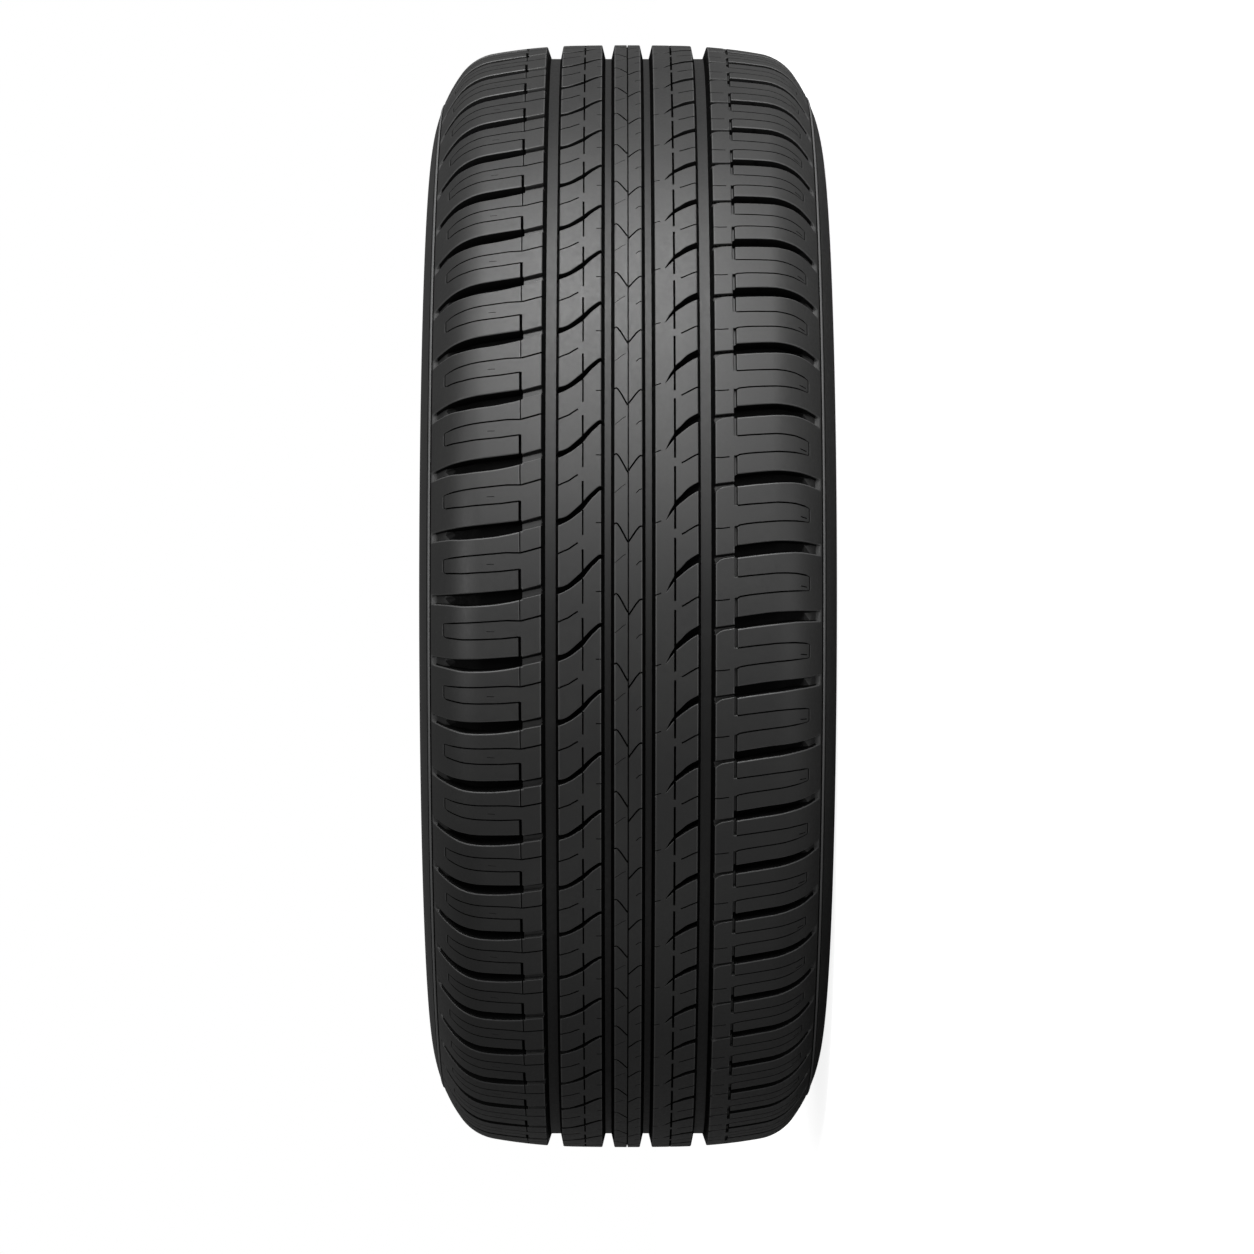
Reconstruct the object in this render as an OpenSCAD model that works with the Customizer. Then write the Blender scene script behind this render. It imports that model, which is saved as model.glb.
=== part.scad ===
// Passenger car tyre with an asymmetric summer tread, 215/50 R17.
// Millimetres. The wheel axis is Z and the origin is the wheel centre, so the
// tyre lies on one sidewall. The half above z = 0 is the left of the tread as
// it is seen from -Y with +X upwards.

/* [Tyre size] */
// Diameter over the crown of the tread
outer_diameter = 646.8; // [620:0.1:680]
// Width across the widest place of the sidewalls
section_width = 226; // [205:0.5:245]
// Diameter of the rim seat that the beads grip
seat_diameter = 436.6; // [405:0.1:462]
// Width over the two bead heels, which is the rim width
bead_width = 177.8; // [152:0.1:203]

/* [Section] */
// Rubber and plies at the crown
crown_thickness = 15.5; // [13:0.1:20]
// Rubber and plies at the widest place
sidewall_thickness = 6.8; // [4:0.1:9]
// How far the cavity's widest place lies inside the middle of its height
cavity_drop = 3.3; // [0:0.1:8]
// Height of the widest place above the rim seat
widest_height = 37.7; // [30:0.1:48]
// Half width of the nearly flat crown
crown_half_width = 29; // [16:0.5:36]
// Radius of the crown arc
crown_radius = 1650; // [900:10:2600]
// Radius of the arc between crown and shoulder
tread_radius = 313; // [240:1:420]
// Radius of the shoulder
shoulder_radius = 29.4; // [22:0.1:36]
// How far the shoulder stays inside the widest place
shoulder_inset = 11; // [6:0.1:16]
// Radius that rests on the curl of the rim flange
flange_radius = 10; // [8:0.1:13]
// Radius of the bead heel
heel_radius = 6.5; // [4:0.1:8]
// Width of the bead's sole on the rim seat
sole_width = 20.9; // [15:0.1:26]

/* [Main grooves] */
// Depth of the four main grooves
groove_depth = 8; // [5:0.1:9.5]
// Middle of the inner pair from the centre line
inner_groove_place = 10.9; // [8:0.1:14]
// Width of the inner pair at the surface
inner_groove_width = 7; // [4:0.1:9]
// Middle of the outer pair from the centre line
outer_groove_place = 41.7; // [36:0.1:46]
// Width of the outer pair at the surface
outer_groove_width = 9.2; // [6:0.1:12]
// Slope of the groove walls in degrees
groove_draft = 11; // [4:0.5:16]

/* [Fine grooves] */
// Width of the slit along the centre line
centre_slit_width = 0.5; // [0.3:0.05:1.2]
// Width of the slit along the right rib
rib_slit_width = 0.7; // [0.3:0.05:1.4]
// Middle of the right rib's slit from the centre line
rib_slit_place = 24.8; // [20:0.1:30]
// Depth of the slits that run round the tread
slit_depth = 5; // [2:0.1:7]
// Width of the slots along the right shoulder
slot_width = 1.6; // [0.6:0.05:2.4]
// Depth of the slots along the right shoulder
slot_depth = 3; // [1:0.1:6]

/* [Sidewall rings] */
// Height of the ring at the tread edge
edge_ring_height = 0.7; // [0.3:0.05:1.2]
// Height above the rim seat of the ring that shows how the tyre is fitted
fitting_ring_rise = 25.7; // [22:0.1:32]
// Height of the fitting ring
fitting_ring_height = 0.6; // [0.3:0.05:1]

/* [Pitches] */
// Pattern pitches round the tyre
pitches = 60; // [40:1:72]
// Slow swing of the pitch sequence in degrees, two and three waves to a turn
slow_swing = 1.2; // [0:0.05:1.3]
// Quick swing of the pitch sequence in degrees, five waves to a turn
quick_swing = 0.75; // [0:0.05:0.8]

/* [Shoulder grooves] */
// Inner end of the shoulder grooves from the centre line
shoulder_groove_start = 56.4; // [50:0.1:62]
// Outer end of the shoulder grooves, inside the widest place
shoulder_groove_inset = 10; // [8:0.1:16]
// Depth of the shoulder grooves
shoulder_groove_depth = 7; // [4:0.1:8]
// Depth at the outer end of the shoulder grooves
shoulder_step_depth = 2.2; // [1:0.1:4]
// Width of the shoulder grooves
shoulder_groove_width = 6; // [3:0.1:8]
// Bow of the shoulder grooves
shoulder_groove_bow = 1.6; // [0:0.1:3]
// Depth of the shallow links to the outer main grooves
link_depth = 2; // [1:0.1:4]
// Width of the shallow links
link_width = 4.6; // [2:0.1:6]

/* [Rib grooves] */
// Depth of the curved grooves across the two inner ribs
rib_groove_depth = 6.5; // [4:0.1:8]
// Width of the curved grooves where they leave the outer main grooves
rib_groove_width = 3.6; // [2:0.1:5]
// Rise of the left rib's groove along the circumference
left_rib_rise = 17.6; // [8:0.1:22]
// Drop of the right rib's groove along the circumference
right_rib_drop = 17.8; // [8:0.1:24]
// Length of the right rib's groove across the tyre
right_groove_length = 17.5; // [12:0.1:20]

/* [Hidden] */
rubber = "#26282a";
top_radius = outer_diameter / 2;
seat_radius = seat_diameter / 2;
half_width = section_width / 2;
half_bead = bead_width / 2;
overshoot = 4;
groove_runout = 1.5;

tyre();

// Section points are [radius, z]; angles turn from the outward radius to +Z
function along(centre, radius, angle) = centre + radius * [cos(angle), sin(angle)];

// Crown: nearly flat arc, then the tread arc, up to the shoulder arc
crown_turn = asin(crown_half_width / crown_radius);
shoulder_start = half_width - shoulder_inset - shoulder_radius;
crown_centre = [top_radius - crown_radius, 0];
tread_centre = along(crown_centre, crown_radius - tread_radius, crown_turn);
tread_turn = asin((shoulder_start - tread_centre[1]) / (tread_radius - shoulder_radius));
shoulder_centre = along(tread_centre, tread_radius - shoulder_radius, tread_turn);

// Sidewall: one arc, tangent to the shoulder and upright at the widest place
widest_radius = seat_radius + widest_height;
wall_drop = shoulder_centre[0] - widest_radius;
wall_turn = 90 - 2 * atan(shoulder_inset / wall_drop);
wall_radius = shoulder_radius + wall_drop / cos(wall_turn);
wall_centre = [widest_radius, half_width - wall_radius];
shoulder_groove_end = half_width - shoulder_groove_inset;
pattern_turn = asin((shoulder_groove_end + 1.5 - wall_centre[1]) / wall_radius);

// Lower wall: bulge over the flange, then the hollow that the flange fills
flange_end = seat_radius + heel_radius + groove_runout;
tuck = half_width - half_bead;
tuck_turn = 2 * atan(tuck / (widest_radius - flange_end));
bulge_radius = (widest_radius - flange_end) / sin(tuck_turn) - flange_radius;
bulge_centre = [widest_radius, half_width - bulge_radius];
flange_centre = [flange_end, half_bead + flange_radius];

// Cavity: an arc under the tread, one round the shoulder, one above the bead
cavity_radius = top_radius - crown_thickness;
cavity_half = half_width - sidewall_thickness;
cavity_widest = (cavity_radius + seat_radius) / 2 - cavity_drop;
cavity_roof_centre = along([cavity_radius - crown_radius, 0], crown_radius - tread_radius, crown_turn);
roof_reach = cavity_half - cavity_roof_centre[1];
roof_fall = cavity_widest - cavity_roof_centre[0];
cavity_shoulder = (tread_radius * tread_radius - roof_reach * roof_reach - roof_fall * roof_fall)
    / (2 * (tread_radius - roof_reach));
cavity_shoulder_centre = [cavity_widest, cavity_half - cavity_shoulder];
cavity_turn = asin((cavity_shoulder_centre[1] - cavity_roof_centre[1]) / (tread_radius - cavity_shoulder));

apex_radius = 16;
bead_swell = 45;
toe_slope = 40;
toe = [seat_radius, half_bead - sole_width];
swell_reach = bead_swell + (toe[1] - cavity_half + apex_radius) * cos(toe_slope)
    + (cavity_widest - toe[0]) * sin(toe_slope);
apex_turn = toe_slope + acos(swell_reach / (apex_radius + bead_swell));
apex_centre = [cavity_widest, cavity_half - apex_radius];
swell_centre = along(apex_centre, apex_radius + bead_swell, 90 + apex_turn);

// The arcs that the tread pattern cuts are short straight runs
function run(centre, radius, from, to, steps) =
    [for (i = [0 : steps]) along(centre, radius, from + (to - from) * i / steps)];

// The slice of a disc between two directions from its centre, which rounds an outline.
// In a large disc the tip stays in the tyre's own half.
module slice(centre, radius, from, to)
{
    function rim(angle) = radius * [cos(angle), sin(angle)];
    middle = (from + to) / 2;
    tip = max(0, 1 - half_width / radius) * rim(middle);
    translate(centre) intersection() {
        circle(r = radius, $fn = 360);
        polygon(concat([tip], [for (angle = [from, middle, to]) tip + 3 * (rim(angle) - tip)]));
    }
}

module outer_half()
{
    outline = concat(
        [[seat_radius, 0], [top_radius, 0]],
        run(crown_centre, crown_radius, crown_turn / 2, crown_turn, 1),
        run(tread_centre, tread_radius, crown_turn, tread_turn, 3),
        run(shoulder_centre, shoulder_radius, tread_turn, wall_turn, 4),
        run(wall_centre, wall_radius, wall_turn, pattern_turn, 1),
        [
            along(wall_centre, wall_radius, 90),
            along(bulge_centre, bulge_radius, 90 + tuck_turn),
            [flange_end, half_bead],
            [seat_radius + heel_radius, half_bead],
            [seat_radius, half_bead - heel_radius]
        ]
    );
    difference() {
        union() {
            polygon(outline);
            slice(wall_centre, wall_radius, pattern_turn, 90);
            slice(bulge_centre, bulge_radius, 90, 90 + tuck_turn);
            slice([seat_radius + heel_radius, half_bead - heel_radius], heel_radius, 90, 180);
            edge_ring();
            fitting_ring();
        }
        slice(flange_centre, flange_radius, 270, 270 + tuck_turn);
    }
}

module cavity_half()
{
    outline = concat(
        [[seat_radius - 20, 0], [cavity_radius, 0]],
        run([cavity_radius - crown_radius, 0], crown_radius, crown_turn / 2, crown_turn, 1),
        run(cavity_roof_centre, tread_radius, crown_turn, cavity_turn, 3),
        [
            along(cavity_shoulder_centre, cavity_shoulder, 90),
            along(apex_centre, apex_radius, 90 + apex_turn),
            along(swell_centre, -bead_swell, 90 + toe_slope),
            toe - 20 * [1, tan(toe_slope)],
        ]
    );
    difference() {
        union() {
            polygon(outline);
            slice(cavity_shoulder_centre, cavity_shoulder, cavity_turn, 90);
            slice(apex_centre, apex_radius, 90, 90 + apex_turn);
        }
        slice(swell_centre, bead_swell, 270 + toe_slope, 270 + apex_turn);
    }
}

// Drafted cut for one main groove, from above the crown to the groove floor
module groove_cut(place, width)
{
    floor_radius = top_radius - groove_depth;
    half_floor = width / 2 - groove_depth * tan(groove_draft);
    half_open = width / 2 + overshoot * tan(groove_draft);
    polygon([
        [floor_radius, place - half_floor],
        [floor_radius, place + half_floor],
        [top_radius + overshoot, place + half_open],
        [top_radius + overshoot, place - half_open]
    ]);
}

// Fine ring round the tread edge
module edge_ring()
{
    turn = pattern_turn + 1.5;
    polygon([
        along(wall_centre, wall_radius - 1, turn - 0.7),
        along(wall_centre, wall_radius + edge_ring_height, turn),
        along(wall_centre, wall_radius - 1, turn + 0.7)
    ]);
}

// Ring beside the flange that shows an even fit on the rim
module fitting_ring()
{
    turn = acos((fitting_ring_rise - widest_height) / bulge_radius);
    polygon([
        along(bulge_centre, bulge_radius - 1, turn - 3.5),
        along(bulge_centre, bulge_radius + fitting_ring_height, turn),
        along(bulge_centre, bulge_radius - 1, turn + 3.5)
    ]);
}

// Straight slit round the tread
module slit(place, width)
{
    translate([top_radius - slit_depth, place - width / 2])
        square([slit_depth + overshoot, width]);
}

module section()
{
    difference() {
        union() {
            outer_half();
            mirror([0, 1]) outer_half();
        }
        slit(0, centre_slit_width);
        slit(-rib_slit_place, rib_slit_width);
        cavity_half();
        mirror([0, 1]) cavity_half();
        for (side = [-1, 1]) {
            groove_cut(side * inner_groove_place, inner_groove_width);
            groove_cut(side * outer_groove_place, outer_groove_width);
        }
    }
}

// The pitch length swells and shrinks round the tyre, which keeps it quiet.
// Angles are counted from the point of the tread that faces -Y, towards +X.
left_start = -75.9;
right_start = -77.9;
function pitch_angle(i, start) = start + 360 / pitches * i;
function wave(i, waves, phase) = sin(waves * 360 / pitches * i + phase);
function left_angle(i) = pitch_angle(i, left_start)
    + slow_swing * wave(i, 2, 128) + quick_swing * wave(i, 5, -49);
function right_angle(i) = pitch_angle(i, right_start)
    + slow_swing * (1.85 * wave(i, 2, 112) + 1.3 * wave(i, 3, 151)) + quick_swing * wave(i, 5, -75);

// Puts a plan drawn as [along the circumference, z] on the tread, cut to a radius
module radial_cut(angle, floor_radius)
{
    rotate(angle - 90) translate([floor_radius, 0, 0]) rotate([90, 0, 90])
        linear_extrude(top_radius + overshoot - floor_radius) children();
}

// Points of a shallow arc from p to q, with its middle bowed sideways by sag
function bow(p, q, sag, steps) = let (normal = [q[1] - p[1], p[0] - q[0]] / norm(q - p))
    [for (i = [0 : steps]) let (t = i / steps) p + t * (q - p) + 4 * sag * t * (1 - t) * normal];

// Floor of a shoulder groove as [radius, z]: it follows the tread, then steps up
function tread_point(z, depth) = along(tread_centre, tread_radius - depth,
    asin((z - tread_centre[1]) / tread_radius));
function shoulder_point(z, depth) = along(shoulder_centre, shoulder_radius - depth,
    asin((z - shoulder_centre[1]) / shoulder_radius));
function wall_point(z, depth) = along(wall_centre, wall_radius - depth,
    asin((z - wall_centre[1]) / wall_radius));

module shoulder_floor(angle)
{
    step_z = shoulder_groove_end - 6;
    side_plan = [
        tread_point(shoulder_groove_start, shoulder_groove_depth),
        tread_point(shoulder_start + 2, shoulder_groove_depth),
        wall_point(step_z, shoulder_step_depth + 1.6),
        wall_point(step_z, shoulder_step_depth),
        wall_point(shoulder_groove_end - 1.2, shoulder_step_depth),
        wall_point(shoulder_groove_end, -0.5),
        [top_radius + overshoot, shoulder_groove_end],
        [top_radius + overshoot, shoulder_groove_start]
    ];
    rotate(angle - 90) rotate([90, 0, 0]) translate([0, 0, -12])
        linear_extrude(24) polygon(side_plan);
}

module shoulder_plan(rise, upper_bow, lower_bow)
{
    from = shoulder_groove_start - 0.01;
    to = shoulder_groove_end + 0.01;
    polygon(concat(
        bow([0, from], [rise, to], upper_bow, 2),
        bow([rise - shoulder_groove_width + 0.8, to], [-shoulder_groove_width, from], lower_bow, 2)
    ));
}

module left_shoulder_groove(angle)
{
    intersection() {
        radial_cut(angle, seat_radius + 50) shoulder_plan(-3.5, -0.4, -shoulder_groove_bow);
        shoulder_floor(angle);
    }
}

module right_shoulder_groove(angle)
{
    intersection() {
        radial_cut(angle, seat_radius + 50)
            mirror([0, 1]) shoulder_plan(2.5, -shoulder_groove_bow, 1.2);
        mirror([0, 0, 1]) shoulder_floor(angle);
    }
}

// S curve across the left rib, from the outer main groove up to the inner one
module left_rib_plan()
{
    from = outer_groove_place - outer_groove_width / 2 + groove_runout;
    to = inner_groove_place + inner_groove_width / 2 - groove_runout;
    steps = 4;
    function ease(t) = let (u = pow(t, 1.2)) u * u * (3 - 2 * u);
    function centre(t) = -1 + left_rib_rise * ease(t);
    function width(t) = rib_groove_width * (1 - 0.45 * t * t);
    polygon(concat(
        [for (i = [0 : steps]) let (t = i / steps)
            [centre(t) + width(t) / 2, from + (to - from) * t]],
        [for (i = [steps : -1 : 0]) let (t = i / steps)
            [centre(t) - width(t) / 2, from + (to - from) * t]]
    ));
}

// Hooked groove of the right rib, from the outer main groove down to a fine tail
module right_rib_plan()
{
    from = outer_groove_place - outer_groove_width / 2 + groove_runout;
    to = outer_groove_place - outer_groove_width / 2 - right_groove_length;
    steps = 4;
    function centre(t) = -6.8 - right_rib_drop * pow(t, 1.4);
    function width(t) = 0.6 + (rib_groove_width + 0.6) * (1 - t);
    polygon(concat(
        [for (i = [0 : steps]) let (t = i / steps)
            [centre(t) + width(t) / 2, -from - (to - from) * t]],
        [for (i = [steps : -1 : 0]) let (t = i / steps)
            [centre(t) - width(t) / 2, -from - (to - from) * t]]
    ));
}

// Shallow links from the shoulder grooves to the outer main grooves
link_from = outer_groove_place + outer_groove_width / 2 - groove_runout;
link_to = shoulder_groove_start + 0.5;

module left_link_plan()
{
    polygon([[-0.7, link_to], [2.2, link_from], [2.2 - link_width, link_from], [-0.7 - link_width, link_to]]);
}

module right_link_plan()
{
    middle = (link_from + link_to) / 2;
    polygon([
        [-3.7, -link_to],
        [-5.2, -link_from],
        [-5.4 - link_width, -link_from],
        [-2.8 - link_width, -middle],
        [-1.4 - link_width, -link_to]
    ]);
}

// Slot along the right shoulder, through each groove and part way to the next
module slot_plan()
{
    translate([-16.4, -shoulder_groove_start - 1.5]) square([26.8, slot_width]);
}

module tyre()
{
    color(rubber) difference() {
        rotate_extrude($fn = 360) section();
        for (i = [0 : pitches - 1]) left_shoulder_groove(left_angle(i));
        for (i = [0 : pitches - 1]) right_shoulder_groove(right_angle(i));
        for (i = [0 : pitches - 1])
            radial_cut(left_angle(i), top_radius - rib_groove_depth) left_rib_plan();
        for (i = [0 : pitches - 1])
            radial_cut(right_angle(i), top_radius - rib_groove_depth) right_rib_plan();
        for (i = [0 : pitches - 1])
            radial_cut(left_angle(i), top_radius - link_depth - 1) left_link_plan();
        for (i = [0 : pitches - 1])
            radial_cut(right_angle(i), top_radius - link_depth - 1) right_link_plan();
        for (i = [0 : pitches - 1])
            radial_cut(right_angle(i), top_radius - slot_depth - 1.5) slot_plan();
    }
}
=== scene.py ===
"""Passenger car tyre with an asymmetric summer tread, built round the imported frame.

The wheel axis is Z and the origin is the wheel centre, so the tyre lies on one
sidewall. The photographed part of the tread faces -Y, with +X up in the
picture and +Z on its left. Lengths are millimetres until a mesh is written.
"""

import logging
import math
from dataclasses import dataclass
from enum import Enum
from typing import Callable, Sequence

import bpy
import numpy as np
from mathutils import Matrix, Vector
from mathutils.geometry import delaunay_2d_cdt

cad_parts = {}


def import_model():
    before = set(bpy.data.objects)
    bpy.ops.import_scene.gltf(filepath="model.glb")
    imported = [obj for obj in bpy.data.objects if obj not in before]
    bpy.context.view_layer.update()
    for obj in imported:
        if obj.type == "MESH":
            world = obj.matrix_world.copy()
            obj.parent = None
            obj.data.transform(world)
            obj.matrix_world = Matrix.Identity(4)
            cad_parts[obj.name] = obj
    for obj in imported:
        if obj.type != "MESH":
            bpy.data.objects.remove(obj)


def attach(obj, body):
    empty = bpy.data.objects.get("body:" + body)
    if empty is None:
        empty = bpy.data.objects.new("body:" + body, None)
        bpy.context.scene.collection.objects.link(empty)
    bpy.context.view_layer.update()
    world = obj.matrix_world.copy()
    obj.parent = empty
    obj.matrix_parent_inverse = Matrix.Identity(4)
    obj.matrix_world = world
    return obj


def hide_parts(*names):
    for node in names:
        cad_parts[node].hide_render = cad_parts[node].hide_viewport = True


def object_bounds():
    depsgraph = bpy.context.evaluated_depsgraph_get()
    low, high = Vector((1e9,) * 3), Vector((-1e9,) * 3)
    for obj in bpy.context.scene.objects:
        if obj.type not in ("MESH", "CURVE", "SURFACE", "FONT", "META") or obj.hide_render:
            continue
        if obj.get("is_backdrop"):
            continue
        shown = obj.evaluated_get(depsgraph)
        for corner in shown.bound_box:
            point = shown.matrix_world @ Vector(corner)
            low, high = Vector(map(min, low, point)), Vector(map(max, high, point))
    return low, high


LOG = logging.getLogger("tyre")
MM = 0.001
RIGHT_ANGLE = math.pi / 2

Array = np.ndarray
DepthFunction = Callable[[Array, Array], Array]

# These values are painted light and shade in the surface colour: -1 is a painted
# highlight on the bright edge ring, 0 the land, 1 painted shade deep in a groove.
# A groove floor's painted shade follows its depth.
SHALLOW, DEEP = 2.0, 4.5
SHALLOW_PAINTED_SHADE, DEEP_PAINTED_SHADE = 0.1, 1.0
# Painted highlights on groove lips, on groove walls near the edge ring, on faint marks and on the
# edge ring itself, and painted shade on the floors of the fine grooves beside the ring
LIP_PAINTED_HIGHLIGHT = -0.18
BRIGHT_LIP_PAINTED_HIGHLIGHT = -0.32
MARK_PAINTED_HIGHLIGHT = -0.25
RING_PAINTED_HIGHLIGHT = -1.0
DARK_FLOOR_PAINTED_SHADE = 0.9

# Longest edges of the section's arcs, in millimetres
WALL_STEP = 2.0
RING_STEP = 1.0
FLANGE_STEP = 0.9
HEEL_STEP = 0.8
BEAD_STEP = 1.6
CORNER_STEP = 2.5
ROOF_STEP = 4.0
CROWN_STEP = 6.0


# Section


@dataclass(frozen=True)
class Arc:
    """A circular arc of the section, in the (radius, z) half plane.

    Args:
        centre: Centre as (radius, z).
        radius: Radius of the arc.
    """

    centre: tuple[float, float]
    radius: float

    def at(self, angle: float, depth: float = 0.0) -> tuple[float, float]:
        """Point at an angle counted from the outward radius towards +Z.

        Args:
            angle: Angle in radians.
            depth: Distance under the arc.

        Returns:
            The point as (radius, z).
        """
        reach = self.radius - depth
        return (
            self.centre[0] + reach * math.cos(angle),
            self.centre[1] + reach * math.sin(angle),
        )

    def sample(self, start: float, end: float, step: float) -> list[tuple[float, float]]:
        """Points from one angle to another, about a step apart.

        Args:
            start: First angle in radians.
            end: Last angle in radians.
            step: Largest distance between points.

        Returns:
            Points as (radius, z), both ends included.
        """
        count = max(2, math.ceil(abs(end - start) * abs(self.radius) / step))
        return [self.at(start + (end - start) * i / count) for i in range(count + 1)]


@dataclass
class TyreSection:
    """The tyre's cross-section, made of the same tangent arcs as the CAD part.

    Args:
        top_radius: Radius over the tread.
        half_width: Half of the section width.
        seat_radius: Radius of the rim seat.
        half_bead: Half of the distance over the bead heels.
        crown_thickness: Thickness under the tread's centre line.
        sidewall_thickness: Thickness at the widest place.
        widest_height: Height of the widest place over the rim seat.
        cavity_rise: How much farther out the cavity is at its widest.
        crown_half_width: Half width of the flattest arc.
        crown_radius: Radius of the flattest arc.
        tread_radius: Radius of the tread arc.
        shoulder_radius: Radius of the shoulder arc.
        shoulder_inset: How far the shoulder arc's end lies inside the half width.
        flange_radius: Radius that the rim flange leaves in the bead.
        heel_radius: Radius of the bead heel.
        heel_runout: Straight length over the heel.
        sole_width: Width of the bead's sole.
        apex_radius: Radius of the cavity over the bead.
        bead_swell: Radius of the swell over the toe.
        toe_slope: Slope of the swell at the toe, in radians.
    """

    top_radius: float = 323.4
    half_width: float = 113.0
    seat_radius: float = 218.3
    half_bead: float = 88.9
    crown_thickness: float = 15.5
    sidewall_thickness: float = 6.8
    widest_height: float = 37.7
    cavity_rise: float = 3.8
    crown_half_width: float = 29.0
    crown_radius: float = 1650.0
    tread_radius: float = 313.0
    shoulder_radius: float = 29.4
    shoulder_inset: float = 11.0
    flange_radius: float = 10.0
    heel_radius: float = 6.5
    heel_runout: float = 1.5
    sole_width: float = 20.9
    apex_radius: float = 16.0
    bead_swell: float = 45.0
    toe_slope: float = math.radians(40.0)

    def __post_init__(self) -> None:
        """Works out the arcs of the outer surface, each tangent to the next."""
        top, half = self.top_radius, self.half_width
        self.crown_turn = math.asin(self.crown_half_width / self.crown_radius)
        self.crown = Arc((top - self.crown_radius, 0.0), self.crown_radius)
        shoulder_start = half - self.shoulder_inset - self.shoulder_radius
        self.tread = Arc(self.crown.at(self.crown_turn, self.tread_radius), self.tread_radius)
        tread_rise = shoulder_start - self.tread.centre[1]
        self.tread_turn = math.asin(tread_rise / (self.tread_radius - self.shoulder_radius))
        self.shoulder = Arc(
            self.tread.at(self.tread_turn, self.shoulder_radius), self.shoulder_radius
        )
        self.widest_radius = self.seat_radius + self.widest_height
        drop = self.shoulder.centre[0] - self.widest_radius
        self.wall_turn = RIGHT_ANGLE - 2 * math.atan(self.shoulder_inset / drop)
        wall_radius = self.shoulder_radius + drop / math.cos(self.wall_turn)
        self.wall = Arc((self.widest_radius, half - wall_radius), wall_radius)

    def surface(self, z: Array) -> tuple[Array, Array, Array]:
        """Outer surface from the crown to the widest place.

        Args:
            z: Distances from the centre line, all positive.

        Returns:
            The radius, and the outward normal's radius and z parts.
        """
        z = np.asarray(z, float)
        radius = np.zeros_like(z)
        normal_r = np.ones_like(z)
        normal_z = np.zeros_like(z)
        arcs = (
            (self.crown, self.crown.at(self.crown_turn)[1]),
            (self.tread, self.tread.at(self.tread_turn)[1]),
            (self.shoulder, self.shoulder.at(self.wall_turn)[1]),
            (self.wall, self.half_width + 1.0),
        )
        low = -1.0
        for arc, high in arcs:
            mask = (z > low) & (z <= high)
            rise = (z[mask] - arc.centre[1]) / arc.radius
            run = np.sqrt(np.maximum(0.0, 1.0 - rise * rise))
            radius[mask] = arc.centre[0] + arc.radius * run
            normal_r[mask] = run
            normal_z[mask] = rise
            low = high
        return radius, normal_r, normal_z

    def wall_angle(self, z: float) -> float:
        """Angle on the sidewall arc at a distance from the centre line."""
        return math.asin((z - self.wall.centre[1]) / self.wall.radius)

    def carcass(self, tread_edge: float) -> list[tuple[float, float]]:
        """Sidewall, bead and cavity from the tread edge to the middle of the cavity.

        Args:
            tread_edge: Distance from the centre line at which the tread ends.

        Returns:
            Points as (radius, z).
        """
        half, seat = self.half_width, self.seat_radius
        flange_end = seat + self.heel_radius + self.heel_runout
        tuck_height = self.widest_radius - flange_end
        tuck_turn = 2 * math.atan((half - self.half_bead) / tuck_height)
        bulge_radius = tuck_height / math.sin(tuck_turn) - self.flange_radius
        bulge = Arc((self.widest_radius, half - bulge_radius), bulge_radius)
        flange = Arc((flange_end, self.half_bead + self.flange_radius), self.flange_radius)
        heel = Arc((seat + self.heel_radius, self.half_bead - self.heel_radius), self.heel_radius)
        points = self.wall.sample(self.wall_angle(tread_edge), RIGHT_ANGLE, WALL_STEP)
        points += ringed(bulge, RIGHT_ANGLE, RIGHT_ANGLE + tuck_turn, FITTING_RING)[1:]
        points += flange.sample(3 * RIGHT_ANGLE + tuck_turn, 3 * RIGHT_ANGLE, FLANGE_STEP)[1:]
        points += heel.sample(RIGHT_ANGLE, 2 * RIGHT_ANGLE, HEEL_STEP)
        points += self._bead_inside()
        return points

    def _bead_inside(self) -> list[tuple[float, float]]:
        """Toe, bead swell and cavity, ending on the centre line.

        Returns:
            Points as (radius, z).
        """
        cavity_radius = self.top_radius - self.crown_thickness
        cavity_half = self.half_width - self.sidewall_thickness
        widest = self.widest_radius + self.cavity_rise
        crown = Arc((cavity_radius - self.crown_radius, 0.0), self.crown_radius)
        roof = Arc(crown.at(self.crown_turn, self.tread_radius), self.tread_radius)
        reach = cavity_half - roof.centre[1]
        fall = widest - roof.centre[0]
        corner_radius = (self.tread_radius**2 - reach**2 - fall**2) / (
            2 * (self.tread_radius - reach)
        )
        corner = Arc((widest, cavity_half - corner_radius), corner_radius)
        corner_rise = corner.centre[1] - roof.centre[1]
        corner_turn = math.asin(corner_rise / (self.tread_radius - corner_radius))
        toe = (self.seat_radius, self.half_bead - self.sole_width)
        swell_reach = (
            self.bead_swell
            + (toe[1] - cavity_half + self.apex_radius) * math.cos(self.toe_slope)
            + (widest - toe[0]) * math.sin(self.toe_slope)
        )
        apex_turn = self.toe_slope + math.acos(swell_reach / (self.apex_radius + self.bead_swell))
        swell_start, swell_end = RIGHT_ANGLE + self.toe_slope, RIGHT_ANGLE + apex_turn
        apex = Arc((widest, cavity_half - self.apex_radius), self.apex_radius)
        swell = Arc(apex.at(swell_end, -self.bead_swell), -self.bead_swell)
        points = [toe]
        points += swell.sample(swell_start, swell_end, BEAD_STEP)
        points += apex.sample(swell_end, RIGHT_ANGLE, BEAD_STEP)[1:]
        points += corner.sample(RIGHT_ANGLE, corner_turn, CORNER_STEP)[1:]
        points += roof.sample(corner_turn, self.crown_turn, ROOF_STEP)[1:]
        points += crown.sample(self.crown_turn, 0.0, CROWN_STEP)[1:]
        return points


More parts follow.
